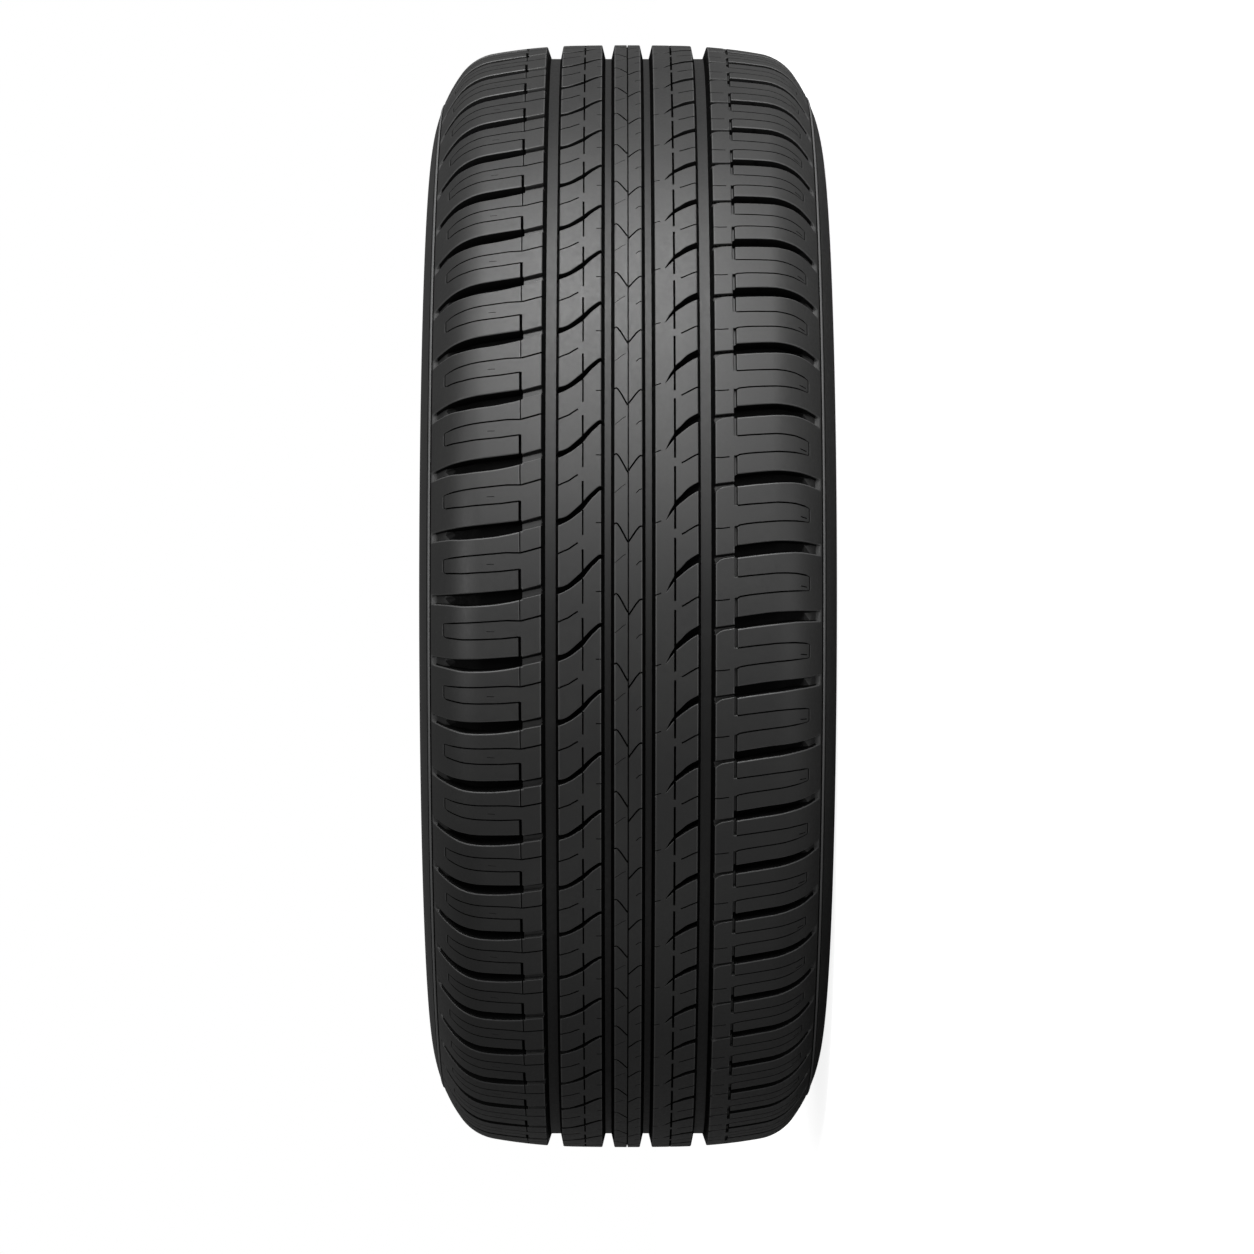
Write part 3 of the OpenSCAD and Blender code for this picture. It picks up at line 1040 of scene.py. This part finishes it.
@dataclass
class TreadBand:
    """Meshes one band: one pitch is triangulated in plan, then laid round the tyre.

    Args:
        plan: What the band is.
        cell_top: Place of the cell's upper border, as s.
        columns: Parts that the cell's length is split into.
        row_slack: How many grid spacings a row may have before it is split.
        clearance: Least distance of a free point from a groove's edge.
        land_depth: Depth up to which a point counts as plain land.
    """

    plan: BandPlan
    cell_top: float = 1.7
    columns: int = 10
    row_slack: float = 1.6
    clearance: float = 1.3
    land_depth: float = 0.004

    def __post_init__(self) -> None:
        """Draws the pattern of one pitch."""
        self.pitches = self.plan.pitches
        self.grooves, self.channels = self.plan.pattern()

    def relief(self, points: Array) -> tuple[Array, Array]:
        """Depth and painted shade of the pattern at points of the plan.

        Args:
            points: Points as (s, z).

        Returns:
            One depth and one painted shade value for each point.
        """
        depth = np.zeros(len(points))
        raised = np.zeros(len(points))
        painted_shade = np.zeros(len(points))
        layers = [channel.relief(points) for channel in self.channels]
        for groove in self.grooves:
            for shift in (-1, 0, 1):
                layers.append(groove.relief(points, shift * self.pitches.length))
        for drop, dark in layers:
            painted_shade = np.where((drop > depth) | (drop < raised), dark, painted_shade)
            depth = np.maximum(depth, drop)
            raised = np.minimum(raised, drop)
        return np.where(depth > 0, depth, raised), painted_shade

    def cell(self) -> tuple[Array, Array]:
        """Triangulates one pitch in plan.

        Returns:
            Points as (s, z), and triangles as rows of three indices.
        """
        plan, length = self.plan, self.pitches.length
        top, bottom = self.cell_top, self.cell_top - length
        points: list[tuple[float, float]] = []
        edges: list[tuple[int, int]] = []

        def add_line(line: Array, closed: bool) -> None:
            """Adds a line's points and edges.

            Args:
                line: Points as (s, z).
                closed: Whether the last point joins the first.
            """
            first = len(points)
            points.extend((float(s), float(z)) for s, z in line)
            edges.extend((first + i, first + i + 1) for i in range(len(line) - 1))
            if closed:
                edges.append((first + len(line) - 1, first))

        stations = {plan.low, plan.high}
        for channel in self.channels:
            stations.update(z for z in channel.stations() if plan.low < z < plan.high)
        rows = sorted(stations)
        for low, high in zip(rows[:-1], rows[1:]):
            if high - low > plan.grid * self.row_slack:
                parts = math.ceil((high - low) / plan.grid)
                stations.update(low + (high - low) * i / parts for i in range(1, parts))
        places = [bottom + length * i / self.columns for i in range(self.columns + 1)]
        for z in rows:
            add_line(np.array([(s, z) for s in places]), closed=False)
        for s in (bottom, top):
            add_line(np.array([(s, z) for z in sorted(stations)]), closed=False)
        for groove in self.grooves:
            for rail in groove.rails():
                for shift in (-1, 0, 1):
                    moved = rail + (shift * length, 0.0)
                    if moved[:, 0].max() > bottom - REACH and moved[:, 0].min() < top + REACH:
                        add_line(moved, closed=True)
        free = [z for z in sorted(stations) if z not in rows]
        inner = np.array([(s, z) for s in places[1:-1] for z in free])
        if len(inner):
            points.extend((float(s), float(z)) for s, z in inner[self._is_clear(inner)])
        out = delaunay_2d_cdt([Vector(p) for p in points], edges, [], 0, PLAN_TOLERANCE)
        plane = np.array([(v[0], v[1]) for v in out[0]])
        faces = np.array(out[2])
        middle = plane[faces].mean(axis=1)
        inside = ((middle > (bottom, plan.low)) & (middle < (top, plan.high))).all(axis=1)
        used, index = np.unique(faces[inside], return_inverse=True)
        return plane[used], index.reshape(-1, 3)

    def _is_clear(self, points: Array) -> Array:
        """Whether points keep clear of every groove's edge.

        Args:
            points: Points as (s, z).

        Returns:
            One truth value for each point.
        """
        nearest = np.full(len(points), np.inf)
        for groove in self.grooves:
            for shift in (-1, 0, 1):
                line = groove.line + (shift * self.pitches.length, 0.0)
                nearest = np.minimum(nearest, np.abs(signed_distance(points, line)))
        return nearest > self.clearance

    def build(self) -> bpy.types.Object:
        """Lays the pitch round the tyre.

        Returns:
            The band as an object.
        """
        plane, faces = self.cell()
        depth = self.relief(plane)[0]
        painted_shade = self.relief(plane[faces].mean(axis=1))[1]
        side = self.plan.side.value
        z = plane[:, 1]
        radius, normal_r, normal_z = SECTION.surface(z)
        r = radius - depth * normal_r
        height = (z - depth * normal_z) * side
        share = plane[:, 0] / self.pitches.length
        land = np.abs(depth) < self.land_depth
        rings, normals = [], []
        for i in range(PitchSequence.COUNT):
            below, here, above = (self.pitches.angle(i + k) for k in (-1, 0, 1))
            swing = np.where(share >= 0, above - here, here - below)
            turn = np.radians(here + share * swing - 90.0)
            cos, sin = np.cos(turn), np.sin(turn)
            rings.append(np.column_stack([r * cos, r * sin, height]))
            up = np.column_stack([normal_r * cos, normal_r * sin, normal_z * side])
            normals.append(up * land[:, None])
        count = len(plane)
        vertices = np.vstack(rings)
        triangles = np.vstack([faces + i * count for i in range(PitchSequence.COUNT)])
        if side < 0:
            triangles = triangles[:, ::-1]
        return make_object(
            self.plan.name,
            vertices,
            triangles,
            np.vstack(normals),
            np.tile(painted_shade, PitchSequence.COUNT),
        )


# Meshes

# Edges sharper than this are drawn sharp
SHARP_ANGLE = math.radians(52.0)
# Size of the grid on which doubled vertices are welded
WELD = 0.002
# Name of the painted light and shade value that each face keeps for the materials
PAINTED_SHADE_ATTRIBUTE = "painted_shade"


def make_object(
    name: str,
    vertices: Array,
    faces: Array,
    normals: Array | None = None,
    painted_shade: Array | None = None,
) -> bpy.types.Object:
    """Makes a mesh object from millimetre vertices, welding doubled ones.

    Args:
        name: Piece name.
        vertices: Vertices in millimetres.
        faces: Rows of vertex indices.
        normals: A normal for each vertex of plain land, zero for the others.
        painted_shade: Painted shade of each face, from -1 for a painted highlight to 1.

    Returns:
        The object, linked to the scene.
    """
    keys = np.round(vertices / WELD).astype(np.int64)
    _, first, index = np.unique(keys, axis=0, return_index=True, return_inverse=True)
    faces = index.reshape(-1)[faces]
    distinct = np.ones(len(faces), bool)
    for i in range(faces.shape[1]):
        distinct &= faces[:, i] != faces[:, (i + 1) % faces.shape[1]]
    faces = faces[distinct]
    mesh = bpy.data.meshes.new(name)
    mesh.from_pydata((vertices[first] * MM).tolist(), [], faces.tolist())
    if painted_shade is not None:
        shade = mesh.attributes.new(PAINTED_SHADE_ATTRIBUTE, "FLOAT", "FACE")
        shade.data.foreach_set("value", painted_shade[distinct])
    mesh.validate()
    mesh.polygons.foreach_set("use_smooth", [True] * len(mesh.polygons))
    mesh.set_sharp_from_angle(angle=SHARP_ANGLE)
    if normals is not None:
        set_land_normals(mesh, normals[first])
    mesh.update()
    piece = bpy.data.objects.new(name, mesh)
    bpy.context.scene.collection.objects.link(piece)
    LOG.info("%s: %d vertices, %d faces", name, len(mesh.vertices), len(mesh.polygons))
    return piece


def set_land_normals(mesh: bpy.types.Mesh, normals: Array) -> None:
    """Gives the triangles of plain land the normals of the tyre's own surface.

    Args:
        mesh: A mesh of triangles.
        normals: A normal for each vertex, zero where it isn't on the land.
    """
    corners_of = np.empty(len(mesh.loops), np.int32)
    mesh.loops.foreach_get("vertex_index", corners_of)
    triangles = normals[corners_of].reshape(-1, 3, 3)
    land = (np.abs(triangles).sum(axis=2) > 0).all(axis=1)
    triangles = triangles * land[:, None, None]
    mesh.normals_split_custom_set(triangles.reshape(-1, 3).tolist())


@dataclass
class Carcass:
    """Sidewalls, beads and cavity, turned round the wheel axis.

    Args:
        segments: Parts that the turn is split into.
    """

    segments: int = 300

    def build(self) -> bpy.types.Object:
        """Turns the section below the tread edge.

        Returns:
            The carcass as one object.
        """
        half = SECTION.carcass(TREAD_EDGE)
        outline = np.array(half + [(r, -z) for r, z in half[-2::-1]])
        turns = np.radians(np.arange(self.segments) * 360.0 / self.segments)
        vertices = [(r * math.cos(t), r * math.sin(t), z) for t in turns for r, z in outline]
        count = len(outline)
        faces = []
        for i in range(self.segments):
            here, there = i * count, (i + 1) % self.segments * count
            for k in range(count - 1):
                faces.append((here + k, here + k + 1, there + k + 1, there + k))
        return make_object("carcass", np.array(vertices), np.array(faces))


# Materials


def linear(code: str) -> tuple[float, float, float, float]:
    """Turns an sRGB colour into linear RGBA.

    Args:
        code: Colour such as "#26282A".

    Returns:
        Linear red, green, blue and full alpha.
    """
    values = [int(code[i : i + 2], 16) / 255 for i in (1, 3, 5)]
    rgb = [v / 12.92 if v <= 0.04045 else ((v + 0.055) / 1.055) ** 2.4 for v in values]
    return (rgb[0], rgb[1], rgb[2], 1.0)


@dataclass(frozen=True)
class RubberFinish:
    """Look of vulcanised rubber.

    Args:
        name: Material name.
        colour: Main colour.
        bloom: Colour of the faint bloom that lies on it.
        grain: Size of the mould's grain in millimetres.
        grain_height: Height of the grain in millimetres.
        roughness: Middle roughness.
        roughness_down: How far the roughness falls under the middle.
        roughness_up: How far it rises over the middle.
        bloom_size: Size of the bloom's patches in millimetres.
        bloom_share: Largest share of the bloom.
        speck: Size of the specks of dull and smooth rubber in millimetres.
        bump: Strength of the grain.
    """

    name: str
    colour: str
    bloom: str
    grain: float
    grain_height: float
    roughness: float = 0.50
    roughness_down: float = 0.05
    roughness_up: float = 0.06
    bloom_size: float = 38.0
    bloom_share: float = 0.55
    speck: float = 2.2
    bump: float = 0.6


# Carbon-black rubber, vulcanised in a metal mould: nearly black and neutral, with
# a wide soft shine and, here and there, a little grey bloom. The fine grain that
# a mould leaves is about 0.1 mm and is drawn coarser, because the render would
# not show it.
TREAD_RUBBER = RubberFinish("tread_rubber", "#1E1E1E", "#262625", 0.45, 0.012)
# The same rubber on the sidewalls, with a lower and wider grain
SIDEWALL_RUBBER = RubberFinish("sidewall_rubber", "#1E1E1E", "#242423", 0.6, 0.010)
# Painted shade makes the rubber in the grooves darker and duller than the land,
# and a painted highlight makes the fine edge ring light
PAINTED_GROOVE_SHADE_COLOUR, PAINTED_RING_HIGHLIGHT_COLOUR = "#060606", "#585858"
LAND_SPECULAR, GROOVE_SPECULAR = 0.5, 0.04


def add_node(
    tree: bpy.types.NodeTree, kind: str, inputs: dict | None = None, **settings
) -> bpy.types.Node:
    """Adds a shader node.

    Args:
        tree: Node tree.
        kind: Blender's node type, without "ShaderNode".
        inputs: Values or output sockets by input name or index.
        **settings: Node properties.

    Returns:
        The node.
    """
    node = tree.nodes.new("ShaderNode" + kind)
    for key, value in settings.items():
        setattr(node, key, value)
    for key, value in (inputs or {}).items():
        if isinstance(value, bpy.types.NodeSocket):
            tree.links.new(value, node.inputs[key])
        else:
            node.inputs[key].default_value = value
    return node


def new_tree(owner: bpy.types.Material | bpy.types.World) -> bpy.types.NodeTree:
    """Gives a material or world an empty node tree.

    Args:
        owner: The material or world.

    Returns:
        The tree.
    """
    owner.use_nodes = True
    owner.node_tree.nodes.clear()
    return owner.node_tree


# Colour sockets of a mix node, which share their names with its other sockets
MIX_FIRST, MIX_SECOND, MIX_RESULT = 6, 7, 2


def rubber(finish: RubberFinish) -> bpy.types.Material:
    """Makes the procedural material of a rubber finish.

    Args:
        finish: The finish.

    Returns:
        The material.
    """
    material = bpy.data.materials.new(finish.name)
    tree = new_tree(material)
    place = add_node(tree, "TexCoord").outputs["Object"]
    noises = []
    for size, detail, roughness in (
        (finish.bloom_size, 4.0, 0.55),
        (finish.speck, 3.0, 0.6),
        (finish.grain, 2.0, 0.5),
    ):
        inputs = {"Vector": place, "Scale": 1 / (size * MM)}
        inputs |= {"Detail": detail, "Roughness": roughness}
        noises.append(add_node(tree, "TexNoise", inputs).outputs["Fac"])
    cloud, speck, grain = noises
    inputs = {"Value": cloud, "From Min": 0.35, "From Max": 0.7, "To Max": finish.bloom_share}
    share = add_node(tree, "MapRange", inputs).outputs["Result"]
    inputs = {
        "Value": speck,
        "From Min": 0.3,
        "From Max": 0.7,
        "To Min": finish.roughness - finish.roughness_down,
        "To Max": finish.roughness + finish.roughness_up,
    }
    rough = add_node(tree, "MapRange", inputs).outputs["Result"]
    inputs = {"Strength": finish.bump, "Distance": finish.grain_height * MM, "Height": grain}
    bump = add_node(tree, "Bump", inputs).outputs["Normal"]
    # Painted light and shade: each face's value mixes in the dark groove colour as painted shade
    # and, where it is negative, the light ring colour as a painted highlight; it also turns the
    # shine down in the painted shade
    painted_shade = add_node(tree, "Attribute", attribute_name=PAINTED_SHADE_ATTRIBUTE).outputs["Fac"]
    light = add_node(tree, "Math", {0: painted_shade, 1: -1.0}, operation="MULTIPLY").outputs[0]
    colour = linear(finish.colour)
    for factor, other in (
        (share, finish.bloom),
        (painted_shade, PAINTED_GROOVE_SHADE_COLOUR),
        (light, PAINTED_RING_HIGHLIGHT_COLOUR),
    ):
        inputs = {"Factor": factor, MIX_FIRST: colour, MIX_SECOND: linear(other)}
        colour = add_node(tree, "Mix", inputs, data_type="RGBA").outputs[MIX_RESULT]
    inputs = {"Value": painted_shade, "To Min": LAND_SPECULAR, "To Max": GROOVE_SPECULAR}
    shine = add_node(tree, "MapRange", inputs).outputs["Result"]
    surface = add_node(
        tree,
        "BsdfPrincipled",
        {"Base Color": colour, "Roughness": rough, "Specular IOR Level": shine, "Normal": bump},
    )
    add_node(tree, "OutputMaterial", {"Surface": surface.outputs["BSDF"]})
    return material


@dataclass(frozen=True)
class FloorFinish:
    """Matt studio floor, which the camera sees as white with a soft shadow.

    Args:
        name: Material name.
        paint: Colour that it has for the light.
        glow: Share of white that the camera sees even in full shadow.
    """

    name: str = "floor_white"
    paint: str = "#B0B0B0"
    glow: float = 0.87

    def material(self) -> bpy.types.Material:
        """Makes the floor's material.

        Returns:
            The material.
        """
        material = bpy.data.materials.new(self.name)
        tree = new_tree(material)
        shown = add_node(tree, "LightPath").outputs["Is Camera Ray"]
        paint = add_node(tree, "BsdfDiffuse", {"Color": linear(self.paint)}).outputs[0]
        white = linear("#FFFFFF")
        glow = add_node(tree, "Emission", {"Color": white, "Strength": self.glow}).outputs[0]
        shade = add_node(tree, "BsdfDiffuse", {"Color": white}).outputs[0]
        seen = add_node(tree, "AddShader", {0: glow, 1: shade}).outputs[0]
        surface = add_node(tree, "MixShader", {0: shown, 1: paint, 2: seen}).outputs[0]
        add_node(tree, "OutputMaterial", {"Surface": surface})
        return material


# Studio


@dataclass(frozen=True)
class SoftBox:
    """A square studio light that points at the wheel centre.

    Args:
        name: Light name.
        place: Position in metres, as (right, up, towards the camera) in the picture.
        power: Power in watts.
        side: Length of its side in metres.
    """

    name: str
    place: tuple[float, float, float]
    power: float
    side: float = 1.0


@dataclass(frozen=True)
class Studio:
    """Camera, lights, floor and backdrop.

    Args:
        image_side: Side of the photograph in pixels.
        focal_pixels: Focal length in pixels.
        distance: Distance of the camera from the wheel axis in metres.
        rise_pixels: How far the wheel centre lies over the picture's middle.
        yaw: Turn of the camera round the X axis in radians.
        sensor: Width of the sensor in millimetres.
        boxes: The lights.
        fill: Strength of the even light of the white room.
        floor_reach: Half of the floor's side in metres.
    """

    image_side: int = 1254
    focal_pixels: float = 5205.0
    distance: float = 9.5 * 0.3234
    rise_pixels: float = 31.0
    yaw: float = -0.0022
    sensor: float = 36.0
    boxes: tuple[SoftBox, ...] = (
        SoftBox("key", (0.0, 2.30, 1.22), 46.0),
        SoftBox("high", (0.0, 2.50, 0.72), 18.0),
        SoftBox("middle", (0.0, 1.99, 1.67), 26.0),
        SoftBox("front", (0.0, 1.30, 2.25), 22.0),
        SoftBox("low", (0.0, -2.25, 1.30), 2.6),
        SoftBox("upper_left", (-1.49, 1.84, 1.06), 13.0),
        SoftBox("left", (-1.99, 0.15, 1.67), 14.0),
        SoftBox("right", (1.99, 0.15, 1.67), 12.0),
    )
    fill: float = 0.146
    floor_reach: float = 12.0

    def _camera(self) -> None:
        """Adds the camera of the photograph."""
        data = bpy.data.cameras.new("camera")
        data.sensor_fit = "HORIZONTAL"
        data.sensor_width = self.sensor
        data.lens = self.focal_pixels / self.image_side * self.sensor
        data.shift_y = -self.rise_pixels / self.image_side
        data.clip_end = 5 * self.floor_reach
        camera = bpy.data.objects.new("camera", data)
        upright = Matrix(((0, 1, 0), (0, 0, -1), (-1, 0, 0))).to_4x4()
        place = Matrix.Translation((0.0, -self.distance, 0.0))
        camera.matrix_world = Matrix.Rotation(self.yaw, 4, "X") @ place @ upright
        bpy.context.scene.collection.objects.link(camera)
        bpy.context.scene.camera = camera

    def _lights(self) -> None:
        """Adds the soft boxes."""
        for box in self.boxes:
            data = bpy.data.lights.new(box.name, "AREA")
            data.shape = "SQUARE"
            data.size = box.side
            data.energy = box.power
            light = bpy.data.objects.new(box.name, data)
            right, up, near = box.place
            light.location = (up, -near, -right)
            light.rotation_mode = "QUATERNION"
            light.rotation_quaternion = (-light.location).to_track_quat("-Z", "X")
            bpy.context.scene.collection.objects.link(light)

    def _room(self) -> None:
        """Adds the white room's even light and its white backdrop."""
        world = bpy.data.worlds.new("white_room")
        tree = new_tree(world)
        shown = add_node(tree, "LightPath").outputs["Is Camera Ray"]
        white = linear("#FFFFFF")
        fill = add_node(tree, "Background", {"Color": white, "Strength": self.fill}).outputs[0]
        seen = add_node(tree, "Background", {"Color": white, "Strength": 1.0}).outputs[0]
        surface = add_node(tree, "MixShader", {0: shown, 1: fill, 2: seen}).outputs[0]
        add_node(tree, "OutputWorld", {"Surface": surface})
        bpy.context.scene.world = world

    def _floor(self, height: float) -> None:
        """Adds the pale floor that the tyre lies on.

        The photograph's tyre stands free, with light on both sidewalls. Here it
        lies on one, so the floor is set not to hide the light that comes from
        beyond it.

        Args:
            height: Height of the floor in metres.
        """
        mesh = bpy.data.meshes.new("floor")
        ways = ((-1, -1), (1, -1), (1, 1), (-1, 1))
        points = [(x * self.floor_reach, y * self.floor_reach, height) for x, y in ways]
        mesh.from_pydata(points, [], [(0, 1, 2, 3)])
        floor = bpy.data.objects.new("floor", mesh)
        floor.visible_shadow = False
        bpy.context.scene.collection.objects.link(floor)
        mesh.materials.append(FloorFinish().material())
        floor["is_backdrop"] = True

    def build(self, floor_height: float) -> None:
        """Adds everything that isn't the tyre.

        Args:
            floor_height: Height of the floor in metres.
        """
        self._camera()
        self._lights()
        self._room()
        self._floor(floor_height)
        bpy.context.scene.view_settings.view_transform = "Standard"


# Tyre


@dataclass(frozen=True)
class Tyre:
    """The tyre's pieces: six bands of tread and the carcass under them.

    Args:
        node: Name of the CAD node, and of its material slot.
        body: Body that every piece rides on.
    """

    node: str = "tyre"
    body: str = "root"

    def build(self) -> None:
        """Builds every piece and ties it to the frame."""
        tread, sidewall = rubber(TREAD_RUBBER), rubber(SIDEWALL_RUBBER)
        for plan in BANDS:
            self._dress(TreadBand(plan).build(), tread)
        self._dress(Carcass().build(), sidewall)

    def _dress(self, piece: bpy.types.Object, material: bpy.types.Material) -> None:
        """Gives a piece its material and ties it to the frame.

        Args:
            piece: The piece.
            material: Its material.
        """
        piece.data.materials.append(material)
        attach(piece, self.body)
        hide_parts(self.node)


def corners(bounds: Sequence[Vector]) -> list[list[float]]:
    """Two corners of a box as plain lists of numbers."""
    return [[float(v) for v in corner] for corner in bounds]


def main() -> None:
    """Builds the scene."""
    logging.basicConfig(level=logging.INFO, format="%(name)s %(message)s")
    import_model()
    cad_box = corners(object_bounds())
    Tyre().build()
    Studio().build(cad_box[0][2])


if __name__ == "__main__":
    main()
